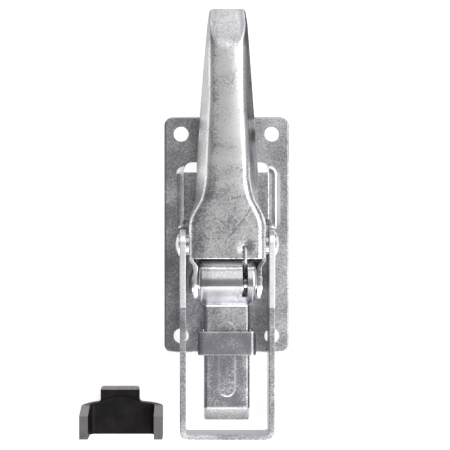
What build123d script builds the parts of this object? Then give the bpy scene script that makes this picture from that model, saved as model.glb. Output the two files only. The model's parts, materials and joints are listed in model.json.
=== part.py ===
"""Surface-mounted drop side latch with an over-centre lever, a strip bail and its weld-on keeper.

The latch lies on its back. The origin is the middle of the four bolt holes on the back face of
the plate, +Y runs up the plate towards the tip of the lever, and +Z comes out of the plate.
All sizes are in millimetres.
"""

import os
from math import acos, atan2, cos, degrees, hypot, radians, sin, tan

from build123d import *

# Back plate, with a hat pressed out of its upper half and a bridge lanced from its lower edge
plate_width = 74.0
plate_height = 140.0
plate_thickness = 3.0
plate_corner_radius = 5.0
plate_edge_roll = 0.8
bolt_hole_diameter = 9.0
bolt_spacing_x = 54.0
bolt_spacing_y = 120.0

window_width = 50.6
window_height = 6.2
window_bottom_y = 37.0
window_corner_radius = 4.7

hat_rise = 5.0
hat_top_width = 50.0
hat_foot_width = 57.6
hat_low_y = 9.2
hat_end_run = 5.0
hat_bend_radius = 1.6
hat_foot_radius = 1.8

bridge_width_y = 13.8
bridge_corner_radius = 3.2

# Tongue housing: a hump over the fulcrum pin that runs down into the locating tongue
housing_sheet = 2.3
housing_edge_radius = 2.2
hump_width = 33.2
hump_top_radius = 14.0
hump_crease_back = 1.0
ramp_foot_radius = 3.0
shoulder_run = 4.0
shoulder_radius = 3.0
tongue_width = 27.0
tongue_rise = 6.5
tongue_end_y = -109.4
tongue_end_run = 8.0
tongue_end_lip = 1.0
tongue_corner_radius = 2.7
bead_width = 10.0
bead_rise = 0.8
bead_taper = 35.0
bead_top_y = -50.8
bead_bottom_y = -94.8

# Fulcrum pin and the return spring that is wound round it
fulcrum_y = -27.6
fulcrum_rise = 11.0
pin_diameter = 8.0
pin_head_diameter = 14.0
pin_head_thickness = 2.6
pin_tail_diameter = 11.0
pin_tail_thickness = 1.5
spring_wire = 1.8
spring_whole_turns = 4
spring_coil_gap = 0.15
spring_pin_gap = 0.2
spring_bend_radius = 1.6
spring_leg_x = 10.0
spring_leg_reach = 8.8
spring_leg_angle = 195.0
spring_hook_y = -6.8
spring_hook_depth = 5.0
spring_over_edge = 1.3
spring_slot_end_y = -35.6
spring_slot_back_rise = 5.0
hook_dimple_diameter = 11.0
hook_dimple_depth = 0.7

# Lever: one pressed channel, wide over the pivots and narrow at the grip
lever_sheet = 2.5
lever_crown_rise = 13.0
lever_crown_camber = 0.6
lever_bell_end_y = 4.0
lever_neck_y = 22.9
lever_tip_y = 128.8
lever_tip_corner_radius = 2.4
lever_neck_width = 37.2
lever_tip_width = 21.6
lever_bell_lag = 1.35
lever_grip_lag = 1.25
lever_bend = 5.2
lever_tip_bend = 3.6
lever_crown_drop = 0.9
lever_tip_camber = 3.0
lever_wall_lean = 26.0
lever_lean_end_y = 29.0
lever_foot_rise = 4.0
lever_foot_low_y = 14.0
lever_foot_high_y = 38.0
lever_foot_taper_length = 50.8
lever_foot_end_length = 7.8
lever_rim = 0.8
facet_length = 20.3
facet_start_drop = 1.0
facet_slope = 0.2
ear_radius = 9.2
ear_overlap = 5.0
ear_top_drop = 5.0
ear_joggle_x = 2.7
ear_joggle_y = 5.0
ear_bend_radius = 2.0
rivet_lug_radius = 7.5

# The lever's sections: how many steps the bell and the grip have, and the shares of the grip at
# which its crown reaches its full drop and its bends begin to tighten
bell_steps = 6
grip_steps = 11
crown_drop_share = 0.75
tip_bend_share = 0.7

# Bail: a flat strip stood on edge and bent into a U, with an eye at the end of each arm
bail_strip = 3.5
bail_depth = 14.0
bail_bar_y = -119.0
bail_bend_radius = 1.4
bail_eye_radius = 8.8
bail_slope_end_y = -41.7
bail_edge_radius = 0.5
bail_pivot_y = -5.0
bail_pivot_rise = 10.0

# Rivets and spacing washers of the bail
rivet_diameter = 8.0
rivet_head_diameter = 14.0
rivet_head_thickness = 2.7
rivet_tail_diameter = 11.0
rivet_tail_thickness = 1.6
washer_diameter = 13.0
washer_thickness = 1.5
head_rim = 0.7

# Keeper: a bracket pressed from thick plate, with a hook tab and two flanges that are welded on
keeper_plate = 5.0
keeper_width = 48.1
keeper_flange_height = 20.0
keeper_centre_x = -61.6
keeper_tab_offset = -1.6
keeper_bottom_y = -117.7
keeper_body_height = 17.3
keeper_bend_radius = 3.0
keeper_tab_width = 23.0
keeper_tab_top_y = -90.0
keeper_tab_corner_radius = 1.6
keeper_root_radius = 2.0
keeper_root_y = -98.8
keeper_flange_top_y = -104.1
keeper_slant_run = 3.9
keeper_slant_fall = 12.0
keeper_coin_depth = 0.6
keeper_coin_radius = 22.3
keeper_coin_top_y = -95.6

# Clearances
fixed_clearance = 0.05
running_clearance = 0.08
side_clearance = 0.5
washer_clearance = 0.1
rest_clearance = 0.3
bridge_clearance = 0.4
bridge_side_clearance = 0.6
ramp_clearance = 0.4
slot_clearance = 0.65
hook_clearance = 0.6
lever_end_clearance = 0.5

# Places that follow from the sizes above
fulcrum_z = plate_thickness + fulcrum_rise
bail_pivot_z = plate_thickness + bail_pivot_rise
lever_crown_z = fulcrum_z + lever_crown_rise
ear_top_z = lever_crown_z - ear_top_drop
hat_top_z = plate_thickness + hat_rise
hat_side_run = (hat_foot_width - hat_top_width) / 2
tongue_top_z = plate_thickness + tongue_rise
hump_top_z = fulcrum_z + hump_top_radius
hump_back_y = fulcrum_y + hump_top_radius
lever_end_y = hump_back_y + lever_end_clearance
bridge_inner_z = tongue_top_z + bead_rise + bridge_clearance
bridge_top_z = bridge_inner_z + plate_thickness
bridge_inner_half = tongue_width / 2 + bridge_side_clearance
bridge_outer_half = bridge_inner_half + plate_thickness
bridge_bottom_y = -plate_height / 2
bridge_top_y = bridge_bottom_y + bridge_width_y
ear_inner_half = hump_width / 2 + side_clearance
ear_outer_half = ear_inner_half + lever_sheet
bell_outer_half = ear_outer_half + ear_joggle_x
bell_inner_half = bell_outer_half - lever_sheet
lever_wall_z = hat_top_z + rest_clearance
bail_back_z = plate_thickness + rest_clearance
bail_front_z = bail_back_z + bail_depth
bail_inner_half = bell_outer_half + washer_thickness + 2 * washer_clearance
bail_outer_half = bail_inner_half + bail_strip
coil_radius = pin_diameter / 2 + spring_pin_gap + spring_wire / 2

back_face = Plane.XY
side_view = Plane.YZ
os.makedirs("parts", exist_ok=True)


def across(y):
    """Plane square to the length of the latch, this far up the plate."""
    return Plane.XZ.offset(-y)


def mitre(run, rise):
    """How far a corner of a slope moves along its run and its rise for each 1 mm of offset."""
    length = hypot(run, rise)
    return (length - run) / rise, (length - rise) / run


def outline_block(outline_plane, outline_points, reach):
    """Solid of a straight-sided outline, carried this far to both sides of its plane."""
    with BuildPart(mode=Mode.PRIVATE) as block:
        with BuildSketch(outline_plane):
            with BuildLine():
                Polyline(*outline_points, close=True)
            make_face()
        extrude(amount=reach, both=True)
    return block.part


def cross_bar(y, z, radius, from_x, to_x):
    """Round bar along X, for a boss or for the hole of a pin."""
    with BuildPart(mode=Mode.PRIVATE) as bar:
        with BuildSketch(side_view.offset(from_x)):
            with Locations((y, z)):
                Circle(radius)
        extrude(amount=to_x - from_x)
    return bar.part


# Back plate
def hat_form(inset):
    """Trapezoid hat with a sloping lower end, its faces moved inwards by the inset."""
    side_shift = inset * hypot(hat_side_run, hat_rise) / hat_rise
    end_shift = inset * hypot(hat_end_run, hat_rise) / hat_rise
    low_z = -2 * plate_thickness
    top_z = hat_top_z - inset
    top_half = hat_top_width / 2 - side_shift + inset * hat_side_run / hat_rise
    low_half = top_half + (top_z - low_z) * hat_side_run / hat_rise
    top_y = hat_low_y + end_shift - inset * hat_end_run / hat_rise
    low_y = top_y - (top_z - low_z) * hat_end_run / hat_rise
    side_points = [
        (window_bottom_y, low_z),
        (window_bottom_y, top_z),
        (top_y, top_z),
        (low_y, low_z),
    ]
    slope = outline_block(side_view, side_points, hat_foot_width)
    with BuildPart(mode=Mode.PRIVATE) as hat:
        with BuildSketch(across(window_bottom_y)):
            with BuildLine():
                Polyline(
                    (-low_half, low_z),
                    (-top_half, top_z),
                    (top_half, top_z),
                    (low_half, low_z),
                    close=True,
                )
            make_face()
        extrude(amount=window_bottom_y - low_y)
        add(slope, mode=Mode.INTERSECT)
        ridge = hat.faces().sort_by(Axis.Z)[-1].edges().sort_by(Axis.Y)
        fillet(ridge[:-1], hat_bend_radius)
    return hat.part


def is_hat_foot(edge):
    """Whether the hat rises from the plate's front face at this edge."""
    middle = edge.center()
    on_front = abs(middle.Z - plate_thickness) < hat_foot_radius
    beside = abs(middle.X) < hat_foot_width / 2 + hat_foot_radius
    return on_front and beside and 0 < middle.Y < window_bottom_y - hat_foot_radius


with BuildPart() as bridge:
    with BuildSketch(across(bridge_top_y)):
        with Locations((0, bridge_top_z / 2)):
            Rectangle(2 * bridge_outer_half, bridge_top_z)
        fillet(vertices().group_by(Axis.Y)[-1], bridge_corner_radius)
    extrude(amount=bridge_width_y)

with BuildPart() as back_plate:
    with BuildSketch(back_face):
        RectangleRounded(plate_width, plate_height, plate_corner_radius)
    extrude(amount=plate_thickness)
    fillet(back_plate.faces().sort_by(Axis.Z)[-1].edges(), plate_edge_roll)
    add(hat_form(0).split(Plane.XY, keep=Keep.TOP))
    fillet(back_plate.edges().filter_by(is_hat_foot), hat_foot_radius)
    add(bridge.part)
    add(hat_form(plate_thickness), mode=Mode.SUBTRACT)
    with BuildSketch(back_face):
        with Locations((0, window_bottom_y + window_height / 2)):
            Rectangle(window_width, window_height)
        fillet(vertices().group_by(Axis.Y)[-1], window_corner_radius)
        with Locations((0, bridge_bottom_y + bridge_width_y / 2)):
            Rectangle(2 * bridge_inner_half, bridge_width_y)
        with GridLocations(bolt_spacing_x, bolt_spacing_y, 2, 2):
            Circle(bolt_hole_diameter / 2)
    extrude(amount=bridge_inner_z, mode=Mode.SUBTRACT)
back_plate.part.label = "back_plate"
export_step(back_plate.part, "parts/back_plate.step")

# Tongue housing
crease_rise = (hump_top_radius**2 - hump_crease_back**2) ** 0.5
ramp_distance = coil_radius + spring_wire / 2 + ramp_clearance + housing_sheet
ramp_normal = atan2(crease_rise, -hump_crease_back) + acos(ramp_distance / hump_top_radius)
ramp_fall = fulcrum_z + crease_rise - tongue_top_z
ramp_run = -ramp_fall * tan(ramp_normal)
ramp_foot_y = fulcrum_y - hump_crease_back - ramp_run
tongue_end_fall = tongue_rise - tongue_end_lip
shoulder_step = (hump_width - tongue_width) / 2


def housing_form(inset):
    """Side outline and plan outline of the housing crossed, their faces moved inwards."""
    top_radius = hump_top_radius - inset
    crease_angle = degrees(ramp_normal - acos((ramp_distance - inset) / top_radius))
    web_z = tongue_top_z - inset
    low_z = plate_thickness - inset
    foot_y = ramp_foot_y + inset * mitre(ramp_run, ramp_fall)[0]
    slope_shift, lip_shift = mitre(tongue_end_run, tongue_end_fall)
    slope_y = tongue_end_y + tongue_end_run + inset * slope_shift
    lip_z = plate_thickness + tongue_end_lip - inset * lip_shift
    end_y = tongue_end_y + inset
    hump_half = hump_width / 2 - inset
    tongue_half = tongue_width / 2 - inset
    step_y = ramp_foot_y + inset * mitre(shoulder_run, shoulder_step)[1]
    back_y = fulcrum_y + top_radius
    with BuildPart(mode=Mode.PRIVATE) as form:
        with BuildSketch(side_view) as side_outline:
            with BuildLine():
                hump_arc = CenterArc((fulcrum_y, fulcrum_z), top_radius, 0, crease_angle)
                Polyline(
                    hump_arc @ 1,
                    (foot_y, web_z),
                    (slope_y, web_z),
                    (end_y, lip_z),
                    (end_y, low_z),
                    (back_y, low_z),
                    hump_arc @ 0,
                )
            make_face()
            web_ends = side_outline.vertices().sort_by(Axis.X)[2:4]
            fillet(web_ends, ramp_foot_radius)
        extrude(amount=hump_half, both=True)
        with BuildSketch(Plane.XY.offset(low_z)) as plan_outline:
            with BuildLine():
                half_outline = Polyline(
                    (0, back_y),
                    (hump_half, back_y),
                    (hump_half, step_y + shoulder_run),
                    (tongue_half, step_y),
                    (tongue_half, end_y),
                    (0, end_y),
                )
                mirror(half_outline, about=Plane.YZ)
            make_face()
            corner_rows = plan_outline.vertices().group_by(Axis.Y)
            fillet(corner_rows[1] + corner_rows[2], shoulder_radius)
            fillet(corner_rows[0], tongue_corner_radius - inset)
        extrude(amount=hump_top_z, mode=Mode.INTERSECT)
    return form.part


front_slot_height = hump_top_z - tongue_top_z
back_slot_z = fulcrum_z + spring_slot_back_rise
back_slot_height = hump_top_z - back_slot_z

with BuildPart() as spring_slot:
    with BuildSketch(side_view.offset(spring_leg_x)):
        with Locations(((spring_slot_end_y + fulcrum_y) / 2, tongue_top_z + front_slot_height / 2)):
            Rectangle(fulcrum_y - spring_slot_end_y, front_slot_height)
        with Locations(((fulcrum_y + hump_back_y) / 2, back_slot_z + back_slot_height / 2)):
            Rectangle(hump_back_y - fulcrum_y, back_slot_height)
    extrude(amount=spring_wire / 2 + slot_clearance, both=True)

bead_length = bead_top_y - bead_bottom_y
bead_middle_y = (bead_top_y + bead_bottom_y) / 2
hump_bore_radius = pin_diameter / 2 + fixed_clearance
hump_bore = cross_bar(fulcrum_y, fulcrum_z, hump_bore_radius, -hump_width, hump_width)

with BuildPart() as tongue_housing:
    add(housing_form(0))
    lip_z = plate_thickness + tongue_end_lip
    upper_edges = tongue_housing.edges().filter_by(lambda edge: edge.bounding_box().max.Z > lip_z)
    rim = upper_edges.filter_by(lambda edge: abs(edge.center().X) > bead_width)
    fillet(rim.filter_by(Axis.Z, reverse=True), housing_edge_radius)
    with BuildSketch(Plane.XY.offset(tongue_top_z)):
        with Locations((0, bead_middle_y)):
            SlotOverall(bead_length, bead_width, rotation=90)
    extrude(amount=bead_rise, taper=bead_taper)
    add(housing_form(housing_sheet), mode=Mode.SUBTRACT)
    with BuildSketch(Plane.XY.offset(tongue_top_z - housing_sheet)):
        with Locations((0, bead_middle_y)):
            SlotOverall(bead_length, bead_width, rotation=90)
    extrude(amount=bead_rise, taper=bead_taper, mode=Mode.SUBTRACT)
    add(hump_bore, mode=Mode.SUBTRACT)
    add(spring_slot.part, mode=Mode.SUBTRACT)
tongue_housing.part.label = "tongue_housing"
export_step(tongue_housing.part, "parts/tongue_housing.step")

# Lever
bell_run = lever_neck_y - lever_bell_end_y
grip_run = lever_tip_y - lever_neck_y
facet_start_y = lever_tip_y - facet_length
facet_start_z = lever_crown_z - facet_start_drop
lever_wall_rise_y = lever_tip_y - lever_foot_taper_length
lever_wall_end_y = lever_tip_y - lever_foot_end_length
grip_wall_z = lever_wall_z + lever_foot_rise
lever_reach = 4 * bell_outer_half
beyond = lever_sheet

bell_width = 2 * bell_outer_half


def eased(share):
    """Share of a change that starts and ends level, from the share of its run."""
    held = min(max(share, 0), 1)
    return held**2 * (3 - 2 * held)


def facet_z(y):
    """Height of the flat facet at the lever's tip."""
    return facet_start_z - facet_slope * (y - facet_start_y)


wall_feet = [
    (lever_end_y - beyond, lever_wall_z),
    (lever_foot_low_y, lever_wall_z),
    (lever_foot_high_y, grip_wall_z),
    (lever_wall_rise_y, grip_wall_z),
    (lever_wall_end_y, facet_z(lever_wall_end_y) - lever_sheet - lever_rim),
    (lever_tip_y + beyond, facet_z(lever_tip_y + beyond) - lever_sheet - lever_rim),
]


def foot_z(y):
    """Height of the feet of the lever's walls, which rise to the grip and run out at the tip."""
    for (start_y, start_z), (end_y, end_z) in zip(wall_feet, wall_feet[1:]):
        if y <= end_y:
            return start_z + (end_z - start_z) * (y - start_y) / (end_y - start_y)


def lever_width(y):
    """Width over the feet: the bell narrows to the neck in an S, and the grip tapers to the tip."""
    to_neck = min((y - lever_bell_end_y) / bell_run, 1)
    to_tip = max(y - lever_neck_y, 0) / grip_run
    at_neck = bell_width - (bell_width - lever_neck_width) * eased(to_neck**lever_bell_lag)
    return at_neck - (lever_neck_width - lever_tip_width) * to_tip**lever_grip_lag


def lever_section(y, inset):
    """Closed section with leaning walls and a slightly cambered crown, moved inwards."""
    to_tip = max(y - lever_neck_y, 0) / grip_run
    to_lean = (y - lever_bell_end_y) / (lever_lean_end_y - lever_bell_end_y)
    lean = radians(lever_wall_lean * eased(to_lean))
    tightened = eased((to_tip - tip_bend_share) / (1 - tip_bend_share))
    bend = lever_bend + (lever_tip_bend - lever_bend) * tightened - inset
    camber = lever_crown_camber + (lever_tip_camber - lever_crown_camber) * to_tip**3
    half = lever_width(y) / 2 - inset / cos(lean)
    top_z = lever_crown_z - lever_crown_drop * eased(to_tip / crown_drop_share) - inset
    top_half = half - (top_z - foot_z(y)) * tan(lean)
    base_half = half + foot_z(y) * tan(lean)
    corner_z = top_z - camber
    with BuildSketch(across(y)) as section:
        with BuildLine():
            Polyline((-top_half, corner_z), (-base_half, 0), (base_half, 0), (top_half, corner_z))
            ThreePointArc((top_half, corner_z), (0, top_z), (-top_half, corner_z))
        make_face()
        fillet(vertices().group_by(Axis.Y)[-1], max(bend, lever_crown_camber))
    return section.sketch


def lever_form(inset):
    """Solid inside the lever's outline, its faces moved inwards by the inset."""
    below_facet = [
        (lever_end_y - beyond, 0),
        (lever_end_y - beyond, facet_z(lever_end_y - beyond) - inset),
        (lever_tip_y + beyond, facet_z(lever_tip_y + beyond) - inset),
        (lever_tip_y + beyond, 0),
    ]
    facet_side = outline_block(side_view, below_facet, lever_reach)
    bell_places = [lever_bell_end_y + bell_run * step / bell_steps for step in range(bell_steps)]
    grip_places = [lever_neck_y + grip_run * step / grip_steps for step in range(grip_steps + 1)]
    sections = [lever_section(y, inset) for y in bell_places + grip_places]
    with BuildPart(mode=Mode.PRIVATE) as form:
        extrude(sections[0], amount=lever_bell_end_y - lever_end_y)
        loft(sections)
        add(facet_side, mode=Mode.INTERSECT)
    return form.part


above_feet = [
    *wall_feet,
    (lever_tip_y + beyond, lever_reach),
    (lever_end_y - beyond, lever_reach),
]

with BuildPart() as ear:
    ear_middle = ear_outer_half - lever_sheet / 2
    wall_middle = bell_outer_half - lever_sheet / 2
    with BuildSketch(Plane.XY):
        with BuildLine():
            FilletPolyline(
                (wall_middle, lever_end_y + ear_overlap),
                (wall_middle, lever_end_y - rest_clearance),
                (ear_middle, lever_end_y - rest_clearance - ear_joggle_y),
                (ear_middle, fulcrum_y - ear_radius),
                radius=ear_bend_radius,
            )
        trace(line_width=lever_sheet)
    extrude(amount=lever_crown_z)
    with BuildSketch(side_view):
        with Locations((fulcrum_y, fulcrum_z)):
            Circle(ear_radius)
        with Locations((lever_end_y + ear_overlap / 2, (lever_wall_z + ear_top_z) / 2)):
            Rectangle(ear_overlap, ear_top_z - lever_wall_z)
        make_hull()
    extrude(amount=lever_reach, mode=Mode.INTERSECT)

dimple_bow = (hook_dimple_diameter**2 / 4 + hook_dimple_depth**2) / (2 * hook_dimple_depth)
dimple_centre = (spring_leg_x, spring_hook_y, lever_crown_z - hook_dimple_depth + dimple_bow)

with BuildPart() as dimple_back:
    with Locations(dimple_centre):
        Sphere(dimple_bow + lever_sheet)
    split(bisect_by=Plane.XY.offset(lever_crown_z - lever_sheet), keep=Keep.BOTTOM)

with BuildPart() as tip_corner:
    with BuildSketch(Plane.XY):
        corner_x = lever_tip_width / 2 - lever_tip_corner_radius
        corner_y = lever_tip_y - lever_tip_corner_radius
        with Locations((corner_x, corner_y)):
            Rectangle(2 * lever_tip_corner_radius, 2 * lever_tip_corner_radius, align=Align.MIN)
            Circle(lever_tip_corner_radius, mode=Mode.SUBTRACT)
    extrude(amount=lever_reach)

rivet_lug = cross_bar(bail_pivot_y, bail_pivot_z, rivet_lug_radius, bell_inner_half, bell_outer_half)
rivet_bore_radius = rivet_diameter / 2 + running_clearance
pin_bore_radius = pin_diameter / 2 + running_clearance
rivet_bore = cross_bar(bail_pivot_y, bail_pivot_z, rivet_bore_radius, -lever_reach, lever_reach)
pin_bore = cross_bar(fulcrum_y, fulcrum_z, pin_bore_radius, -lever_reach, lever_reach)

with BuildPart() as lever:
    add(lever_form(0))
    add(lever_form(lever_sheet), mode=Mode.SUBTRACT)
    add(outline_block(side_view, above_feet, lever_reach), mode=Mode.INTERSECT)
    add(dimple_back.part)
    with Locations(dimple_centre):
        Sphere(dimple_bow, mode=Mode.SUBTRACT)
    with Locations((spring_leg_x, spring_hook_y, lever_crown_z)):
        Hole(spring_wire / 2 + hook_clearance, depth=2 * lever_sheet)
    add([ear.part, mirror(ear.part, about=side_view)])
    add([rivet_lug, mirror(rivet_lug, about=side_view)])
    add([tip_corner.part, mirror(tip_corner.part, about=side_view)], mode=Mode.SUBTRACT)
    add([rivet_bore, pin_bore], mode=Mode.SUBTRACT)
lever.part.label = "lever"
export_step(lever.part, "parts/lever.step")


# Fulcrum pin, bail rivets and washers
def headed_pin(y, z, head_x, tail_x, shaft_diameter, head_size, tail_size):
    """Turned pin along X with a domed head outside head_x and a domed tail outside tail_x."""
    outwards = 1 if head_x > tail_x else -1
    head_diameter, head_thickness = head_size
    tail_diameter, tail_thickness = tail_size
    head_top = (head_x + outwards * head_thickness, 0)
    tail_top = (tail_x - outwards * tail_thickness, 0)
    profile_plane = Plane(origin=(0, y, z), x_dir=(1, 0, 0), z_dir=(0, -1, 0))
    with BuildPart(mode=Mode.PRIVATE) as pin:
        with BuildSketch(profile_plane):
            with BuildLine():
                stem = Polyline(
                    (head_x + outwards * head_rim, head_diameter / 2),
                    (head_x, head_diameter / 2),
                    (head_x, shaft_diameter / 2),
                    (tail_x, shaft_diameter / 2),
                    (tail_x, tail_diameter / 2),
                    (tail_x - outwards * head_rim, tail_diameter / 2),
                )
                TangentArc(head_top, stem @ 0, tangent=(0, 1))
                TangentArc(tail_top, stem @ 1, tangent=(0, 1))
                Line(head_top, tail_top)
            make_face()
        revolve(axis=Axis((0, y, z), (1, 0, 0)))
    return pin.part


with BuildPart() as fulcrum_pin:
    pin_seat_x = ear_outer_half + washer_clearance
    add(
        headed_pin(
            fulcrum_y,
            fulcrum_z,
            -pin_seat_x,
            pin_seat_x,
            pin_diameter,
            (pin_head_diameter, pin_head_thickness),
            (pin_tail_diameter, pin_tail_thickness),
        )
    )
fulcrum_pin.part.label = "fulcrum_pin"
export_step(fulcrum_pin.part, "parts/fulcrum_pin.step")

with BuildPart() as bail_rivet_right:
    add(
        headed_pin(
            bail_pivot_y,
            bail_pivot_z,
            bail_outer_half + washer_clearance,
            bell_inner_half - washer_clearance,
            rivet_diameter,
            (rivet_head_diameter, rivet_head_thickness),
            (rivet_tail_diameter, rivet_tail_thickness),
        )
    )
bail_rivet_right.part.label = "bail_rivet_right"
export_step(bail_rivet_right.part, "parts/bail_rivet_right.step")

with BuildPart() as bail_rivet_left:
    add(mirror(bail_rivet_right.part, about=side_view))
bail_rivet_left.part.label = "bail_rivet_left"
export_step(bail_rivet_left.part, "parts/bail_rivet_left.step")

with BuildPart() as bail_washer_right:
    washer_inner_x = bell_outer_half + washer_clearance
    washer_outer_x = bail_inner_half - washer_clearance
    with BuildSketch(side_view.offset(washer_inner_x)):
        with Locations((bail_pivot_y, bail_pivot_z)):
            Circle(washer_diameter / 2)
            Circle(rivet_bore_radius, mode=Mode.SUBTRACT)
    extrude(amount=washer_outer_x - washer_inner_x)
bail_washer_right.part.label = "bail_washer_right"
export_step(bail_washer_right.part, "parts/bail_washer_right.step")

with BuildPart() as bail_washer_left:
    add(mirror(bail_washer_right.part, about=side_view))
bail_washer_left.part.label = "bail_washer_left"
export_step(bail_washer_left.part, "parts/bail_washer_left.step")

# Return spring: its leg runs through the slot, over the crown's edge and down into the hook hole
coil_pitch = spring_wire + spring_coil_gap
hook_z = lever_crown_z + spring_wire / 2 + washer_clearance
edge_y = lever_end_y - spring_over_edge
edge_angle = atan2(hook_z - fulcrum_z, edge_y - fulcrum_y)
edge_distance = hypot(hook_z - fulcrum_z, edge_y - fulcrum_y)
leave_angle = edge_angle - acos(coil_radius / edge_distance)
enter_angle = radians(spring_leg_angle + 90 - 360)
coil_turns = spring_whole_turns + (leave_angle - enter_angle) / radians(360)
coil_start_x = spring_leg_x - coil_turns * coil_pitch
fixed_leg_length = (spring_leg_reach**2 - coil_radius**2) ** 0.5


def beside_fulcrum(distance, angle):
    """Point in the side view at this distance and angle from the fulcrum."""
    return fulcrum_y + distance * cos(angle), fulcrum_z + distance * sin(angle)


leg_plane = side_view.offset(spring_leg_x)
leave_point = beside_fulcrum(coil_radius, leave_angle)
enter_y, enter_z = beside_fulcrum(coil_radius, enter_angle)
fixed_end = (
    enter_y + fixed_leg_length * cos(radians(spring_leg_angle)),
    enter_z + fixed_leg_length * sin(radians(spring_leg_angle)),
)

coil_plane = Plane(
    origin=(coil_start_x, fulcrum_y, fulcrum_z),
    x_dir=(0, cos(enter_angle), sin(enter_angle)),
    z_dir=(1, 0, 0),
)
coil = coil_plane * Helix(coil_pitch, coil_turns * coil_pitch, coil_radius)

with BuildPart() as return_spring:
    with BuildLine(side_view.offset(coil_start_x)):
        fixed_leg = Line(fixed_end, (enter_y, enter_z))
    with BuildLine(leg_plane):
        moving_leg = FilletPolyline(
            leave_point,
            (edge_y, hook_z),
            (spring_hook_y, hook_z),
            (spring_hook_y, hook_z - spring_hook_depth),
            radius=spring_bend_radius,
        )
    for wire_path in (fixed_leg, coil, moving_leg):
        with BuildSketch(Plane(origin=wire_path @ 0, z_dir=wire_path % 0)):
            Circle(spring_wire / 2)
        sweep(path=wire_path, is_frenet=True)
return_spring.part.label = "return_spring"
export_step(return_spring.part, "parts/return_spring.step")

# Bail
with BuildPart() as bail:
    with BuildSketch(Plane.XY):
        arm_top_y = bail_pivot_y + bail_eye_radius
        with BuildLine():
            FilletPolyline(
                (-bail_outer_half + bail_strip / 2, arm_top_y),
                (-bail_outer_half + bail_strip / 2, bail_bar_y + bail_strip / 2),
                (bail_outer_half - bail_strip / 2, bail_bar_y + bail_strip / 2),
                (bail_outer_half - bail_strip / 2, arm_top_y),
                radius=bail_bend_radius + bail_strip / 2,
            )
        trace(line_width=bail_strip)
    extrude(amount=bail_pivot_z + bail_eye_radius)
    with BuildSketch(side_view):
        with Locations((bail_pivot_y, bail_pivot_z)):
            Circle(bail_eye_radius)
        with Locations(((bail_bar_y + bail_slope_end_y) / 2, (bail_back_z + bail_front_z) / 2)):
            Rectangle(bail_slope_end_y - bail_bar_y, bail_depth)
        make_hull()
    extrude(amount=bail_outer_half, both=True, mode=Mode.INTERSECT)
    rounded_edges = bail.edges().filter_by(lambda edge: edge.length > bail_bend_radius)
    long_edges = rounded_edges.filter_by(Axis.Z, reverse=True)
    fillet(long_edges, bail_edge_radius)
    add(rivet_bore, mode=Mode.SUBTRACT)
bail.part.label = "bail"
export_step(bail.part, "parts/bail.step")

# Keeper
keeper_tab_x = keeper_centre_x + keeper_tab_offset
keeper_body_top_y = keeper_bottom_y + keeper_body_height
tab_half = keeper_tab_width / 2
keeper_half = keeper_width / 2

with BuildPart() as keeper:
    with BuildSketch(across(keeper_bottom_y)):
        with BuildLine():
            FilletPolyline(
                (keeper_centre_x - keeper_half + keeper_plate / 2, keeper_flange_height),
                (keeper_centre_x - keeper_half + keeper_plate / 2, keeper_plate / 2),
                (keeper_centre_x + keeper_half - keeper_plate / 2, keeper_plate / 2),
                (keeper_centre_x + keeper_half - keeper_plate / 2, keeper_flange_height),
                radius=keeper_bend_radius + keeper_plate / 2,
            )
        trace(line_width=keeper_plate)
    extrude(amount=keeper_bottom_y - keeper_tab_top_y)
    with BuildSketch(Plane.XY) as keeper_plan:
        with BuildLine():
            Polyline(
                (keeper_centre_x - keeper_half, keeper_bottom_y),
                (keeper_centre_x - keeper_half, keeper_body_top_y),
                (keeper_tab_x - tab_half, keeper_root_y),
                (keeper_tab_x - tab_half, keeper_tab_top_y),
                (keeper_tab_x + tab_half, keeper_tab_top_y),
                (keeper_tab_x + tab_half, keeper_root_y),
                (keeper_centre_x + keeper_half, keeper_body_top_y),
                (keeper_centre_x + keeper_half, keeper_bottom_y),
                close=True,
            )
        make_face()
        fillet(keeper_plan.vertices().group_by(Axis.Y)[-1], keeper_tab_corner_radius)
        near_root = keeper_plan.vertices().sort_by(lambda corner: abs(corner.Y - keeper_root_y))
        fillet(near_root[:2], keeper_root_radius)
    extrude(amount=keeper_flange_height, mode=Mode.INTERSECT)
    flange_outline = [
        (keeper_bottom_y, 0),
        (keeper_bottom_y, keeper_flange_height),
        (keeper_flange_top_y, keeper_flange_height),
        (keeper_flange_top_y + keeper_slant_run, keeper_flange_height - keeper_slant_fall),
        (keeper_tab_top_y, keeper_flange_height - keeper_slant_fall),
        (keeper_tab_top_y, 0),
    ]
    add(outline_block(side_view, flange_outline, keeper_width * 2), mode=Mode.INTERSECT)
    with BuildSketch(Plane.XY.offset(keeper_plate)):
        with Locations((keeper_tab_x, keeper_tab_top_y)):
            Rectangle(keeper_tab_width, 2 * (keeper_tab_top_y - keeper_root_y))
        with Locations((keeper_tab_x, keeper_coin_top_y - keeper_coin_radius)):
            Circle(keeper_coin_radius, mode=Mode.SUBTRACT)
    extrude(amount=-keeper_coin_depth, mode=Mode.SUBTRACT)
keeper.part.label = "keeper"
export_step(keeper.part, "parts/keeper.step")
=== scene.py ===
import json
from math import cos, radians, sin, tan

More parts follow.
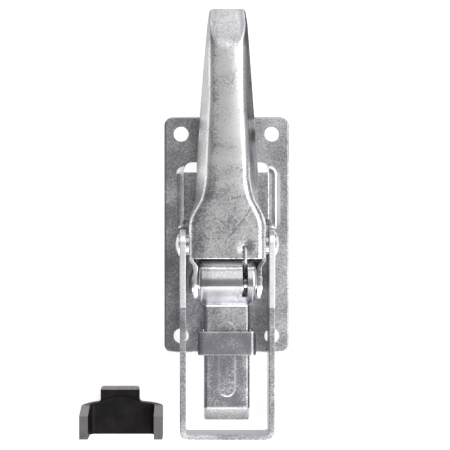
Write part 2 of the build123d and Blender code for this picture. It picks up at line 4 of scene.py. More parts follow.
import bmesh
import bpy
import numpy as np
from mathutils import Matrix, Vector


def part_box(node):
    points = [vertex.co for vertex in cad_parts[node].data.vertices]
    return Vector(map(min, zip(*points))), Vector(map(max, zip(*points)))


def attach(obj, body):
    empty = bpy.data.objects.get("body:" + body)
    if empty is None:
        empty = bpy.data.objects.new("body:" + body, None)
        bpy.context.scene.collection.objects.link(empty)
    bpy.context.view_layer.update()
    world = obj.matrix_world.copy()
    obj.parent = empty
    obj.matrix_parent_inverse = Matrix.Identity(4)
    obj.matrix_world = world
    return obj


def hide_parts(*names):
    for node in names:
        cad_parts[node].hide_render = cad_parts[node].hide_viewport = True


bl_info = {
    "name": "Drop side latch",
    "version": (1, 0, 0),
    "blender": (4, 5, 0),
    "location": "3D View > Sidebar > Latch",
    "description": "Zinc and black finishes, the pressed lever and the studio of a drop side latch",
    "category": "Object",
}

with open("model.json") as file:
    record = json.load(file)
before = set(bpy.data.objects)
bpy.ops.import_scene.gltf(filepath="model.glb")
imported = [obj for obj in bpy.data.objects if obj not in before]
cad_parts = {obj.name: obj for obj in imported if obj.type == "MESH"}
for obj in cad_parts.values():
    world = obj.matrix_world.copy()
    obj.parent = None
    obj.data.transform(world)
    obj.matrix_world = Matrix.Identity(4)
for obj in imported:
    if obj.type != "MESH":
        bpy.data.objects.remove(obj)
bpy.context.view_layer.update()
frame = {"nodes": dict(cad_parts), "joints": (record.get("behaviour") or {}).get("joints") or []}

MM = 0.001
ZINC_METALLIC = 0.88
SCRATCH_WIDTH = 0.12 * MM
# The plate's front face, its bridge's upper end, and how near the lever's top its crown lies
PLATE_FRONT_Z = 3 * MM
BRIDGE_TOP_Y = -56.2 * MM
CROWN_DEPTH = 2 * MM
WHITE = (1.0, 1.0, 1.0, 1.0)
# White of the painted highlights on the housing's ramp and end slope
HIGHLIGHT_WHITE = (1.0, 1.0, 0.99, 1.0)
# Grey of the painted shade on the lever's right wall
PAINTED_SHADE_GREY = (0.13, 0.13, 0.14, 1.0)
BROWN_BLACK = (0.012, 0.0095, 0.0088, 1.0)

lever_high = np.array(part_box("lever")[1])
keeper_high = np.array(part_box("keeper")[1])
pivots = {joint["name"]: np.array(joint["pos_m"]) for joint in frame["joints"]}


# Sizes and colours that a user would change
def length_of(name, description, default):
    """Property that holds a length."""
    words = {"name": name, "description": description, "default": default}
    return bpy.props.FloatProperty(unit="LENGTH", **words)


def colour_of(name, description, default):
    """Property that holds a colour."""
    words = {"name": name, "description": description, "default": default}
    return bpy.props.FloatVectorProperty(subtype="COLOR", min=0.0, max=1.0, **words)


class LatchStageSettings(bpy.types.PropertyGroup):
    """Camera, floor and lights."""

    camera_x: length_of(
        "Camera X",
        "How far the camera stands to the right of the bolt pattern's middle",
        -17.8 * MM,
    )
    camera_y: length_of(
        "Camera Y", "How far the camera stands up the plate from the bolt pattern's middle", 14 * MM
    )
    camera_distance: length_of(
        "Camera distance", "Distance from the camera to the plate's front face", 0.6
    )
    picture_width: length_of(
        "Picture width", "Width of the picture, measured on the plate's front face", 267.3 * MM
    )
    picture_x: length_of(
        "Picture middle X", "X of the picture's middle on the plate's front face", -0.95 * MM
    )
    picture_y: length_of(
        "Picture middle Y", "Y of the picture's middle on the plate's front face", 5.94 * MM
    )
    floor_size: length_of("Floor size", "Side of the square floor", 6.0)
    floor_colour: colour_of("Floor colour", "Colour of the pale floor", (0.30, 0.30, 0.30))
    floor_glow: bpy.props.FloatProperty(
        name="Floor glow",
        description="Light that the floor gives off itself, which keeps it white in every gap",
        default=0.86,
        min=0.0,
    )
    card_y: length_of(
        "Cards' start",
        "Y from which two cards beside the lever lie on the floor, seen in reflections only",
        45 * MM,
    )
    room_light: bpy.props.FloatProperty(
        name="Room light", description="Brightness of the plain room", default=0.2, min=0.0
    )


class LatchFinishSettings(bpy.types.PropertyGroup):
    """Colours of the metals."""

    zinc_light: colour_of("Light zinc", "Light grains of the zinc coat", (0.78, 0.775, 0.795))
    zinc_bright: colour_of(
        "Bright zinc",
        "Light grains where the zinc coat is rubbed bright, as on the lever",
        (0.90, 0.895, 0.905),
    )
    zinc_dark: colour_of("Dark zinc", "Dark grains of the zinc coat", (0.29, 0.29, 0.325))
    black_coat: colour_of("Black coat", "Satin black of the keeper", (0.0055, 0.005, 0.0056))
    bare_steel: colour_of(
        "Bare steel", "Steel that shows at the keeper's worn and cut edges", (0.25, 0.23, 0.237)
    )
    grain_size: length_of("Grain size", "Size of the mottled grain of the zinc coat", 1.5 * MM)


class LatchLeverSettings(bpy.types.PropertyGroup):
    """Sizes of the pressed lever that its box does not give."""

    sheet: length_of("Sheet", "Thickness of the lever's sheet", 2.5 * MM)
    end_y: length_of("Crown's end", "Y at which the crown is cut off over the housing", -13.1 * MM)
    bell_end_y: length_of("Bell's end", "Y at which the bell begins to narrow", 4 * MM)
    neck_y: length_of("Neck", "Y at which the grip begins", 22.9 * MM)
    neck_width: length_of("Neck width", "Width over the feet at the neck", 37.2 * MM)
    tip_width: length_of("Tip width", "Width over the feet at the tip", 21.6 * MM)
    tip_reach: length_of(
        "Tip reach", "How far the tip's rounded edge stands out past the lever's box", 2.0 * MM
    )
    tip_corner: length_of("Tip corner", "Radius of the tip's corners", 2.4 * MM)
    wall_lean: bpy.props.FloatProperty(
        name="Wall lean",
        description="Lean of the grip's walls from upright",
        default=radians(26),
        subtype="ANGLE",
    )
    bend: length_of("Bend", "Outer radius between wall and crown", 5.2 * MM)
    tip_bend: length_of("Tip bend", "Outer radius of the bends at the tip", 2.6 * MM)
    facet_length: length_of("Facet length", "Length of the flat facet at the tip", 21.6 * MM)
    hook_x: length_of("Hook X", "X of the hole for the spring's hook", 10 * MM)
    hook_y: length_of("Hook Y", "Y of the hole for the spring's hook", -6.8 * MM)
    dimple_width: length_of("Dimple width", "Width of the dimple round the hook's hole", 12 * MM)
    dimple_depth: length_of("Dimple depth", "Depth of that dimple", 0.4 * MM)


# Shader nodes written as expressions
class Value:
    """An output of a node. Arithmetic on it adds Math nodes, whose output is a Value again."""

    def __init__(self, finish, socket):
        self.finish = finish
        self.socket = socket

    def math(self, operation, *values):
        return self.finish.node("ShaderNodeMath", {"operation": operation}, values)

    def __add__(self, other):
        return self.math("ADD", self, other)

    __radd__ = __add__

    def __sub__(self, other):
        return self.math("SUBTRACT", self, other)

    def __rsub__(self, other):
        return self.math("SUBTRACT", other, self)

    def __mul__(self, other):
        return self.math("MULTIPLY", self, other)

    def __abs__(self):
        return self.math("ABSOLUTE", self)

    def __pow__(self, other):
        return self.math("POWER", self, other)

    def larger(self, other):
        return self.math("MAXIMUM", self, other)

    def ramp(self, start, end):
        """0 up to start and 1 from end on, smooth between them. Start may be the larger."""
        settings = {"interpolation_type": "SMOOTHSTEP"}
        inputs = {"Value": self, "From Min": start, "From Max": end}
        return self.finish.node("ShaderNodeMapRange", settings, inputs)

    def band(self, middle, outer, inner):
        """1 within the inner distance of a middle, 0 beyond the outer one."""
        return abs(self - middle).ramp(outer, inner)


class Finish:
    """A material, and the one method that adds a node to it."""

    def __init__(self, name):
        self.material = bpy.data.materials.new(name)
        self.material.use_nodes = True
        self.tree = self.material.node_tree
        self.tree.nodes.clear()

    def node(self, kind, settings=None, inputs=(), output=0):
        """New node with its settings made first. Inputs go by name, or by order in a tuple."""
        made = self.tree.nodes.new(kind)
        for name, setting in (settings or {}).items():
            setattr(made, name, setting)
        named = inputs.items() if isinstance(inputs, dict) else enumerate(inputs)
        for name, value in named:
            if isinstance(value, Value):
                self.tree.links.new(value.socket, made.inputs[name])
            else:
                made.inputs[name].default_value = value
        return Value(self, made.outputs[output]) if made.outputs else None

    def place(self, stretch=(1.0, 1.0, 1.0), shift=(0.0, 0.0, 0.0)):
        """Point of the piece in metres, stretched and moved for a pattern."""
        point = self.node("ShaderNodeTexCoord", output="Object")
        inputs = {"Vector": point, "Location": shift, "Scale": stretch}
        return self.node("ShaderNodeMapping", None, inputs)

    def axes(self, point):
        """The three coordinates of a point, each as a Value."""
        apart = self.node("ShaderNodeSeparateXYZ", None, (point,)).socket.node
        return [Value(self, output) for output in apart.outputs]

    def noise(self, point, size, detail=2.0, roughness=0.5):
        """Smooth random value about 0.5 whose blotches have this size in metres."""
        inputs = {"Vector": point, "Scale": 1 / size, "Detail": detail, "Roughness": roughness}
        return self.node("ShaderNodeTexNoise", None, inputs, output="Fac")

    def scratches(self, at, turn, length, amount):
        """1 on thin scratches in one direction, from a noise that is stretched along them."""
        stretch = (1 / SCRATCH_WIDTH, 1 / length, 1 / length)
        turned_inputs = {"Vector": at, "Rotation": (0, 0, turn), "Scale": stretch}
        turned = self.node("ShaderNodeMapping", {"vector_type": "POINT"}, turned_inputs)
        marks = self.noise(turned, 1.0, detail=1.0, roughness=0.4)
        return marks.ramp(1 - amount, 1 - amount + 0.06)

    def mix(self, share, low, high):
        """Colour between two colours."""
        inputs = {"Factor": share, 6: low, 7: high}
        return self.node("ShaderNodeMix", {"data_type": "RGBA"}, inputs, output=2)

    def surface(self, colour, roughness, metallic, height=None, height_scale=0.0, **fixed):
        """Principled shader, with a bump where a height is given, as the material's surface."""
        inputs = {"Base Color": colour, "Roughness": roughness, "Metallic": metallic, **fixed}
        if height is not None:
            bump_inputs = {"Height": height, "Distance": height_scale, "Strength": 1.0}
            inputs["Normal"] = self.node("ShaderNodeBump", None, bump_inputs)
        shader = self.node("ShaderNodeBsdfPrincipled", None, inputs)
        self.node("ShaderNodeOutputMaterial", None, {"Surface": shader})
        return self.material


def opaque(colour):
    """Colour with a fourth value of 1, as a node's socket takes it."""
    return (*colour, 1.0)


def distance(first, second):
    """Distance from the place where both offsets are 0."""
    return (first * first + second * second) ** 0.5


def grain(finish, settings, at, mottle):
    """Share of light grains in the zinc coat, from fine crystals, clouds and cells, and the first
    two by themselves. All three lie about 0.5."""
    size = settings.grain_size
    cells_inputs = {"Vector": at, "Scale": 1 / size, "Randomness": 1.0}
    cells = finish.node("ShaderNodeTexVoronoi", {"feature": "F1"}, cells_inputs, output="Distance")
    fine = finish.noise(at, size * 0.7, detail=3.0, roughness=0.7)
    clouds = finish.noise(at, size * 9, detail=3.0, roughness=0.55)
    share = 0.5 + (fine - 0.5) * (4.6 * mottle) + (clouds - 0.5) * (2.2 * mottle)
    return share - (cells - 0.4) * (0.6 * mottle), fine, clouds


def zinc_gloss(roughness, fine, clouds, speckle=0.14):
    """Roughness of the zinc coat: rougher in the clouds, smoother on the light crystals."""
    return roughness + (clouds - 0.5) * 0.1 - (fine - 0.5) * speckle


def bail_zinc(name, settings):
    """The bail's satin zinc: brushed across its edges, with painted highlights on top of the cranked
    arms and eyes and along the bar's top, and painted shade on the bar.
    """
    top_z = 17.3 * MM
    crank_y = -41.7 * MM
    crank_rise = tan(radians(7.1))
    eye_radius = 8.8 * MM
    bar_inner_y = -115.5 * MM
    finish = Finish(name)
    at = finish.place()
    y, z = finish.axes(at)[1:]
    share, fine, clouds = grain(finish, settings, at, 0.6)
    brushed = finish.place(stretch=(0.08, 1.0, 1.0))
    strokes = finish.noise(brushed, 0.45 * MM, detail=3.0, roughness=0.6) - 0.5
    # Painted highlight on the top edges of the arms past the crank and on top of the eyes
    cranked = (y + strokes * (0.8 * MM)).ramp(crank_y - 0.2 * MM, crank_y + 0.3 * MM)
    from_edge = z - top_z - (y - crank_y) * crank_rise
    above_eye = z - pivots["bail_swing"][2]
    from_eye = distance(y - pivots["bail_swing"][1], above_eye)
    eye_top = from_eye.ramp(eye_radius - 0.9 * MM, eye_radius - 0.4 * MM)
    eye_top = eye_top * above_eye.ramp(1 * MM, 3 * MM)
    wear_and_painted_highlight = cranked * from_edge.ramp(-1.3 * MM, -0.6 * MM).larger(eye_top)
    # Painted shade on the bar, and a painted highlight along its top
    bar = y.ramp(bar_inner_y + 2 * MM, bar_inner_y + 0.5 * MM)
    bar_top = z.ramp(top_z - 0.9 * MM, top_z - 0.3 * MM)
    share = share - 0.18 - bar * (0.6 - bar_top * 0.85) + strokes * 1.1
    satin = finish.mix(share, opaque(settings.zinc_dark), opaque(settings.zinc_light))
    # Colour of that painted highlight, from light zinc to white
    bright_share = 0.35 + strokes * 2.4 + (fine - 0.5) * 2.0
    bright = finish.mix(bright_share, opaque(settings.zinc_light), WHITE)
    colour = finish.mix(wear_and_painted_highlight, satin, bright)
    gloss = zinc_gloss(0.3, fine, clouds, speckle=0.1) + wear_and_painted_highlight * 0.06
    height = fine * 0.6 + strokes * 0.5
    return finish.surface(colour, gloss, ZINC_METALLIC, height, 0.012 * MM)


def zinc_plated(name, settings, roughness, mottle, lift):
    """Bright zinc: mottled grain in colour and gloss, with light and dark handling scratches. Lift
    makes all of it lighter."""
    finish = Finish(name)
    at = finish.place()
    share, fine, clouds = grain(finish, settings, at, mottle)
    light = finish.scratches(at, 0.6, 9 * MM, 0.27)
    dark = finish.scratches(at, -0.9, 7 * MM, 0.25)
    share = share + lift + light * 0.5 - dark * 0.5
    colour = finish.mix(share, opaque(settings.zinc_dark), opaque(settings.zinc_light))
    gloss = zinc_gloss(roughness, fine, clouds)
    height = fine - dark * 0.6 + light * 0.3
    return finish.surface(colour, gloss, ZINC_METALLIC, height, 0.016 * MM * mottle)


def housing_zinc(name, settings):
    """The housing's zinc: smooth and mirror-like on the drawn hump and ramp, mottled on the tongue,
    with painted highlights on the bead's rim, the ramp and the slope at the tongue's end, and painted
    shade on the side bends, in the creases, at the ramp's foot and on the hump's left."""
    hump_crease_y = -28.6 * MM
    ramp_foot_y = -41.8 * MM
    bead_top_y = -50.8 * MM
    bead_bottom_y = -94.8 * MM
    bead_half = 5 * MM
    slope_top_y = -101.4 * MM
    slope_foot_y = -109.4 * MM
    bend_x = 11.3 * MM
    finish = Finish(name)
    at = finish.place()
    x, y = finish.axes(at)[:2]
    share, fine, clouds = grain(finish, settings, at, 1.0)
    drawn = y.ramp(ramp_foot_y + 0.8 * MM, ramp_foot_y + 2.3 * MM)
    tongue = 1 - drawn
    # The bead is a slot: distance from its middle line, less its half width
    middle_y = (bead_top_y + bead_bottom_y) / 2
    half_run = (bead_top_y - bead_bottom_y) / 2 - bead_half
    from_bead = distance(x, (abs(y - middle_y) - half_run).larger(0.0)) - bead_half
    # Painted highlight on the bead's rim, brightest at its low end; the tongue is darker just beside
    # the bead
    rim = from_bead.band(-0.3 * MM, 0.7 * MM, 0.25 * MM) * tongue
    low_rim = y.ramp(bead_bottom_y + 6 * MM, bead_bottom_y + 3 * MM)
    gutter = from_bead.ramp(0.3 * MM, 1.2 * MM) * from_bead.ramp(5.6 * MM, 3.4 * MM)
    light = finish.scratches(at, 0.4, 8 * MM, 0.27)
    dark = finish.scratches(at, -1.0, 7 * MM, 0.25)
    from_middle = abs(x)
    side = from_middle.ramp(8.5 * MM, 11.5 * MM) * tongue
    bend = from_middle.ramp(bend_x - 0.1 * MM, bend_x + 0.5 * MM)
    slope = y.ramp(slope_top_y + 0.2 * MM, slope_top_y - 0.6 * MM)
    slope_crease = y.band(slope_top_y, 0.9 * MM, 0.3 * MM)
    ramp_crease = y.band(ramp_foot_y, 1.1 * MM, 0.4 * MM)
    upper = y.ramp(BRIDGE_TOP_Y - 5.8 * MM, BRIDGE_TOP_Y + 2.2 * MM)
    share = share - 0.28 + upper * 0.38 + side * 0.1 + rim * 0.6 + rim * low_rim * 0.6 - gutter * 0.2
    # Painted shade on the side bends and in the creases at the slope's top and the ramp's foot
    share = share + light * 0.5 - dark * 0.5 - bend * 0.45 - slope_crease * 0.6 - ramp_crease * 0.9
    # On the drawn hump and ramp: painted shade at the ramp's foot and on the hump's left
    ramp_low = y.ramp(ramp_foot_y + 5.3 * MM, ramp_foot_y + 2.3 * MM)
    hump = y.ramp(hump_crease_y - 0.6 * MM, hump_crease_y - 0.2 * MM)
    hump_left = x.ramp(-8 * MM, -12 * MM) * hump
    smooth_share = 0.64 + (fine - 0.5) * 1.3 - ramp_low * 0.7 - hump_left * 0.35
    share = share + (smooth_share - share) * drawn
    colour = finish.mix(share, opaque(settings.zinc_dark), opaque(settings.zinc_light))
    # The painted highlight turns the bead's rim towards white
    colour = finish.mix(rim * 0.45, colour, WHITE)
    # Painted highlights: the ramp below the hump's crease, fading towards the ramp's foot, and the
    # slope at the tongue's end
    ramp_highlight_fade = y.ramp(ramp_foot_y + 7.8 * MM, ramp_foot_y + 3.8 * MM)
    below_hump = y.ramp(hump_crease_y - 0.3 * MM, hump_crease_y - 0.7 * MM)
    painted_ramp_highlight = drawn * below_hump * (0.75 - ramp_highlight_fade * 0.75)
    slope_low = y.ramp(slope_foot_y + 3.4 * MM, slope_foot_y + 0.4 * MM)
    painted_slope_highlight = slope * (0.62 + (fine - 0.5) * 1.2 - slope_low * 0.25)
    colour = finish.mix(painted_ramp_highlight.larger(painted_slope_highlight), colour, HIGHLIGHT_WHITE)
    # Painted shade on the upper side bends and in the ramp's crease
    painted_bend_shade = bend * y.ramp(BRIDGE_TOP_Y - 2.8 * MM, BRIDGE_TOP_Y + 0.2 * MM) * tongue
    colour = finish.mix(ramp_crease.larger(painted_bend_shade) * 0.6, colour, opaque(settings.zinc_dark))
    gloss = zinc_gloss(0.3, fine, clouds) - drawn * 0.05 + slope * 0.12
    metallic = ZINC_METALLIC + drawn * 0.1 - slope * 0.5
    height = (fine - dark * 0.6 + light * 0.3) * (1 - drawn * 0.8)
    return finish.surface(colour, gloss, metallic, height, 0.018 * MM)


def plate_zinc(name, settings):
    """The plate's zinc: mottled and scratched, darker on the bridge, with painted highlights on the
    bridge's ends, where the hat runs out beside the window and along the hat's right foot, and
    painted shade towards the left, along the left edge, on the hat and on the hat's right slope."""
    bridge_bottom_y = -70 * MM
    bridge_z = 11 * MM
    hat_z = 4.5 * MM
    hat_foot_x = 28.8 * MM
    left_edge_x = -37 * MM
    corner_middle = (25.3 * MM, 36.3 * MM)
    corner_radius = 3.9 * MM
    finish = Finish(name)
    at = finish.place()
    x, y, z = finish.axes(at)
    share, fine, clouds = grain(finish, settings, at, 0.6)
    light = finish.scratches(at, 0.6, 10 * MM, 0.28)
    dark = finish.scratches(at, -0.9, 8 * MM, 0.26)
    # The bridge is darker, with painted highlights on its ends
    bridge = z.ramp(bridge_z, bridge_z + 2 * MM)
    bottom_end = y.ramp(bridge_bottom_y + 1 * MM, bridge_bottom_y + 0.4 * MM)
    top_end = y.ramp(BRIDGE_TOP_Y - 1 * MM, BRIDGE_TOP_Y - 0.4 * MM)
    bridge_ends = bottom_end.larger(top_end) * bridge
    patches = finish.noise(finish.place(shift=(0.02, 0.01, 0.0)), 26 * MM) - 0.5
    # Painted shade on the hat, and towards the plate's left
    hat = z.ramp(hat_z, hat_z + 1 * MM) * (1 - bridge)
    left = x.ramp(4 * MM, -22 * MM)
    share = share - bridge * 0.55 + bridge_ends * 0.8 + light * 0.5 - dark * 0.5
    share = share + patches * 0.7 + 0.03 - left * 0.17 - hat * 0.03
    # The hat's corners run out round beside the window, shown in colour alone: a painted highlight
    # fills the left one and rims both, and painted shade fills the right one inside its rim
    corner_x = abs(x) - corner_middle[0]
    corner_y = y - corner_middle[1]
    from_corner = distance(corner_x, corner_y)
    beside = corner_x.ramp(-0.4 * MM, 0.2 * MM) * corner_y.ramp(-0.6 * MM, 0.4 * MM)
    inside = from_corner.ramp(corner_radius, corner_radius - 0.7 * MM) * beside
    rim = from_corner.band(corner_radius, 0.9 * MM, 0.3 * MM) * beside
    at_left = x.ramp(1 * MM, -1 * MM)
    share = share + inside * (at_left * 1.7 - 0.6) + rim * (1.3 - at_left * 1.0)
    # Painted shade along the left edge and on the hat's right slope, and a painted highlight on the
    # plate beside the hat's right foot
    left_edge = x.ramp(left_edge_x + 1.8 * MM, left_edge_x + 0.8 * MM)
    on_flat = 1 - z.ramp(3.3 * MM, 3.8 * MM)
    beside_foot = x.band(hat_foot_x + 1.8 * MM, 1.7 * MM, 0.9 * MM) * on_flat
    beside_foot = beside_foot * y.ramp(4 * MM, 8 * MM) * y.ramp(38.5 * MM, 35 * MM)
    foot_slope = z.ramp(3.6 * MM, 4.4 * MM) * z.ramp(6.2 * MM, 5.4 * MM) * x.ramp(22 * MM, 24 * MM)
    share = share - left_edge * 0.5 + beside_foot * 0.6 - foot_slope * 0.5
    colour = finish.mix(share, opaque(settings.zinc_dark), opaque(settings.zinc_light))
    # The painted highlights of the run-outs and beside the hat's foot go towards white
    run_out = (inside * at_left).larger(rim)
    pale = (run_out * 0.8).larger(beside_foot * 0.45)
    colour = finish.mix(pale, colour, WHITE)
    gloss = zinc_gloss(0.31, fine, clouds, speckle=0.1) + run_out * 0.25
    height = fine - dark * 0.6 + light * 0.3
    return finish.surface(colour, gloss, ZINC_METALLIC, height, 0.01 * MM)


def long_scratch(x, y, wobble, low, high):
    """1 along one scratch between two places: thin across its line, faded out at its ends."""
    run = np.subtract(high, low)
    length = float(np.hypot(*run))
    along_x, along_y = (float(part) / length for part in run)
    from_x = x - low[0]
    from_y = y - low[1]
    along = from_x * along_x + from_y * along_y
    aside = from_x * along_y - from_y * along_x + wobble * (3 * MM)
    scratch = abs(aside).ramp(0.42 * MM, 0.1 * MM)
    return scratch * along.ramp(0.0, 2 * MM) * along.ramp(length, length - 2 * MM)


def lever_zinc(name, settings, lever):
    """The lever's zinc: darker and veined on the bell and lighter on the grip, with painted shade on
    the right wall, the left bend, the facet, the right bend near the tip, the right ear and in and
    beside the hook's hole, and painted highlights and reflections on the left wall, the ears and the
    dimple. The attribute "across" tells the crown, bends, walls and ears apart."""
    tip_y = float(lever_high[1])
    crown_low_z = float(lever_high[2]) - CROWN_DEPTH
    plate_end_y = 70 * MM
    ear_low_y = -30 * MM
    finish = Finish(name)
    at = finish.place()
    x, y, z = finish.axes(at)
    across = finish.node("ShaderNodeAttribute", {"attribute_name": "across"}, output="Fac")
    share, fine, clouds = grain(finish, settings, at, 0.75)
    wobble = finish.noise(at, 5 * MM) - 0.5
    grip = (y + wobble * (14 * MM)).ramp(lever.neck_y, lever.neck_y + 22 * MM)
    veins_inputs = {"Vector": at, "Scale": 1 / (11 * MM), "Randomness": 1.0}
    crazed = {"feature": "DISTANCE_TO_EDGE"}
    veins = finish.node("ShaderNodeTexVoronoi", crazed, veins_inputs, output="Distance")
    veins = (veins + (fine - 0.5) * 0.03).ramp(0.022, 0.004)
    veins = veins * finish.noise(at, 6 * MM).ramp(0.5, 0.6) * (1 - grip)
    # One long scratch runs from the bell's right shoulder down towards its middle
    scratch = long_scratch(x, y, wobble, (-1.1 * MM, -2.9 * MM), (13.8 * MM, 16.5 * MM))
    light = finish.scratches(at, 0.5, 8 * MM, 0.27)
    dark = finish.scratches(at, -1.1, 6 * MM, 0.26)
    facet = y.ramp(tip_y - 23 * MM, tip_y - 15 * MM)
    # Drawing streaks run along both walls, under painted shade on the right one and a painted
    # reflection on the left one
    on_wall = finish.node("ShaderNodeCombineXYZ", None, (across * (75 * MM), y * 0.04, 0.0))
    streaks = finish.noise(on_wall, 1.1 * MM) - 0.5
    right_wall = across.ramp(0.76, 0.82) * across.ramp(1.3, 1.1)
    left_wall = across.ramp(-0.76, -0.82)
    left_bend = across.ramp(-0.28, -0.47) * across.ramp(-0.66, -0.57)
    past_plate = y.ramp(plate_end_y - 6 * MM, plate_end_y + 2 * MM)
    # The grip is lighter; painted shade darkens the facet, the left bend and the right wall, and a
    # painted reflection lightens the left wall, less past the plate's end
    share = share + 0.27 + grip * 0.38 - facet * 0.5 + light * 0.4 - dark * 0.4 - veins - scratch
    share = share - right_wall * (0.4 - streaks * 2.4) - left_bend * 0.4
    share = share + (0.95 - past_plate * 0.5 + streaks * 0.8 - share) * (left_wall * 0.9)
    share = share + (0.18 - share) * (facet * 0.65)
    # Painted shade in the hook's hole; beside it the dimple has a painted highlight at its lower left
    # and painted shade at its upper right
    hook_x = x - lever.hook_x
    hook_y = y - lever.hook_y
    on_crown = z.ramp(crown_low_z, crown_low_z + 1 * MM)
    in_hole = distance(hook_x, hook_y).ramp(1.5 * MM, 1.1 * MM) * on_crown
    rough_edge = wobble * (2 * MM)
    shine = distance(hook_x + 3.6 * MM, hook_y + 1.6 * MM) + rough_edge
    shade = distance(hook_x - 2.4 * MM, hook_y - 1.6 * MM) + rough_edge
    shine = shine.ramp(2.3 * MM, 0.8 * MM)
    shade = shade.ramp(4.2 * MM, 1.2 * MM) * on_crown
    # Painted shade on the right ear above its low end
    right_ear = across.ramp(1.3, 1.8)
    ear_low = y.ramp(ear_low_y + 2 * MM, ear_low_y)
    share = share - in_hole * 0.6 + shine * 0.4 - shade * 0.8 - right_ear * (1 - ear_low) * 0.55
    colour = finish.mix(share, opaque(settings.zinc_dark), opaque(settings.zinc_bright))
    # Painted highlights on the left ear and the right ear's low end, and a painted reflection on the
    # left wall before the plate's end
    painted_ear_highlight = across.ramp(-1.3, -1.8).larger(right_ear * ear_low * 0.7)
    colour = finish.mix(painted_ear_highlight, colour, WHITE)
    colour = finish.mix(left_wall * (1 - past_plate) * 0.65, colour, WHITE)
    # Painted shade ends the bright bend at the right short of the tip, beside the facet
    shoulder = across.ramp(0.36, 0.5) * across.ramp(0.95, 0.8)
    shoulder = shoulder * (y + wobble * (5 * MM)).ramp(tip_y - 20 * MM, tip_y - 13 * MM)
    colour = finish.mix(shoulder * 0.7, colour, opaque(settings.zinc_dark))
    # Painted shade turns the right wall dark grey, less past the plate's end
    painted_wall_shade = right_wall * (0.92 - streaks * 1.5) * (1 - past_plate * 0.9)
    colour = finish.mix(painted_wall_shade, colour, PAINTED_SHADE_GREY)
    gloss = zinc_gloss(0.29, fine, clouds)
    height = fine - veins * 0.8 - scratch * 1.2 - dark * 0.5
    return finish.surface(colour, gloss, ZINC_METALLIC, height, 0.018 * MM)


def black_coated(name, settings):
    """Satin black coat, rubbed through to grey steel on the flanges' ends and slants and on the
    tab's edge."""
    flange_top_z = float(keeper_high[2])
    tab_end_y = float(keeper_high[1])
    slant_top_y = -104.1 * MM
    slant_slope = 12 / 3.9
    finish = Finish(name)
    at = finish.place()
    y, z = finish.axes(at)[1:]
    fine = finish.noise(at, 0.8 * MM, detail=3.0, roughness=0.6)
    clouds = finish.noise(at, 7 * MM, detail=3.0)
    colour = finish.mix(clouds.ramp(0.4, 0.7), opaque(settings.black_coat), BROWN_BLACK)
    on_end = z.ramp(flange_top_z - 0.5 * MM, flange_top_z - 0.1 * MM)
    from_slant = abs(flange_top_z - z - (y - slant_top_y) * slant_slope)
    on_slant = from_slant.ramp(1.2 * MM, 0.5 * MM) * z.ramp(6.5 * MM, 8 * MM)
    tab_edge = y.ramp(tab_end_y - 1.9 * MM, tab_end_y - 1.3 * MM)
    # On the keeper this mask holds wear alone, where the coat is rubbed through to steel
    wear_and_painted_highlight = (on_end * 0.55).larger(on_slant * 1.5).larger(tab_edge * 0.9)
    wear_and_painted_highlight = wear_and_painted_highlight * (fine + clouds).ramp(0.55, 0.95)
    colour = finish.mix(wear_and_painted_highlight, colour, opaque(settings.bare_steel))
    gloss = 0.46 + (fine - 0.5) * 0.3
    sheen = {"Specular IOR Level": 0.12}
    return finish.surface(colour, gloss, wear_and_painted_highlight * 0.5, fine - wear_and_painted_highlight * 0.4, 0.03 * MM, **sheen)


# Meshes
def dress(node, material):
    """Gives a CAD node this material."""
    slots = frame["nodes"][node].data.materials
    slots.clear()
    slots.append(material)


def eased(share):
    """3 s squared less 2 s cubed: a change from 0 to 1 that starts and ends level."""
    held = np.clip(share, 0, 1)
    return held**2 * (3 - 2 * held)


def soft_lower(first, second, softness):
    """The lower of two heights, blended over the softness: minus k ln(exp(-a/k) + exp(-b/k))."""
    return -softness * np.logaddexp(-first / softness, -second / softness)


def spaced(start, stop, count, near):
    """Numbers from start to stop, drawn together near a place: each moves towards it by a share
    of its distance that falls off as a bell curve."""
    pull = 0.45
    reach = 0.2 * (stop - start)
    places = np.linspace(start, stop, count)
    drawn = places + pull * (near - places) * np.exp(-(((places - near) / reach) ** 2))
    drawn[0], drawn[-1] = start, stop
    return np.sort(drawn)


def shell_mesh(name, shells, material):
    """One mesh of closed shells. Each is a grid of points, rows along and columns round it; the
    columns close on themselves and the first and last rows are closed by their own shape. The
    fourth number of a point is its place across the sheet, kept as the attribute "across"."""
    points, faces, first = [], [], 0
    for grid in shells:
        rows, columns = grid.shape[:2]
        index = first + np.arange(rows * columns).reshape(rows, columns)
        nearer, further = index[:-1], index[1:]
        corners = (nearer, np.roll(nearer, -1, 1), np.roll(further, -1, 1), further)
        faces.append(np.stack(corners, axis=-1).reshape(-1, 4))
        points.append(grid.reshape(-1, 4))
        first += rows * columns
    mesh = bpy.data.meshes.new(name)
    points = np.concatenate(points)
    mesh.from_pydata(points[:, :3], [], np.concatenate(faces).tolist())
    mesh.attributes.new("across", "FLOAT", "POINT").data.foreach_set("value", points[:, 3])
    merged = bmesh.new()
    merged.from_mesh(mesh)
    bmesh.ops.remove_doubles(merged, verts=merged.verts, dist=1e-7)
    bmesh.ops.dissolve_degenerate(merged, dist=1e-8, edges=merged.edges)
    bmesh.ops.recalc_face_normals(merged, faces=merged.faces)
    merged.to_mesh(mesh)
    merged.free()
    mesh.shade_smooth()
    mesh.materials.append(material)
    made = bpy.data.objects.new(name, mesh)
    bpy.context.scene.collection.objects.link(made)
    return made


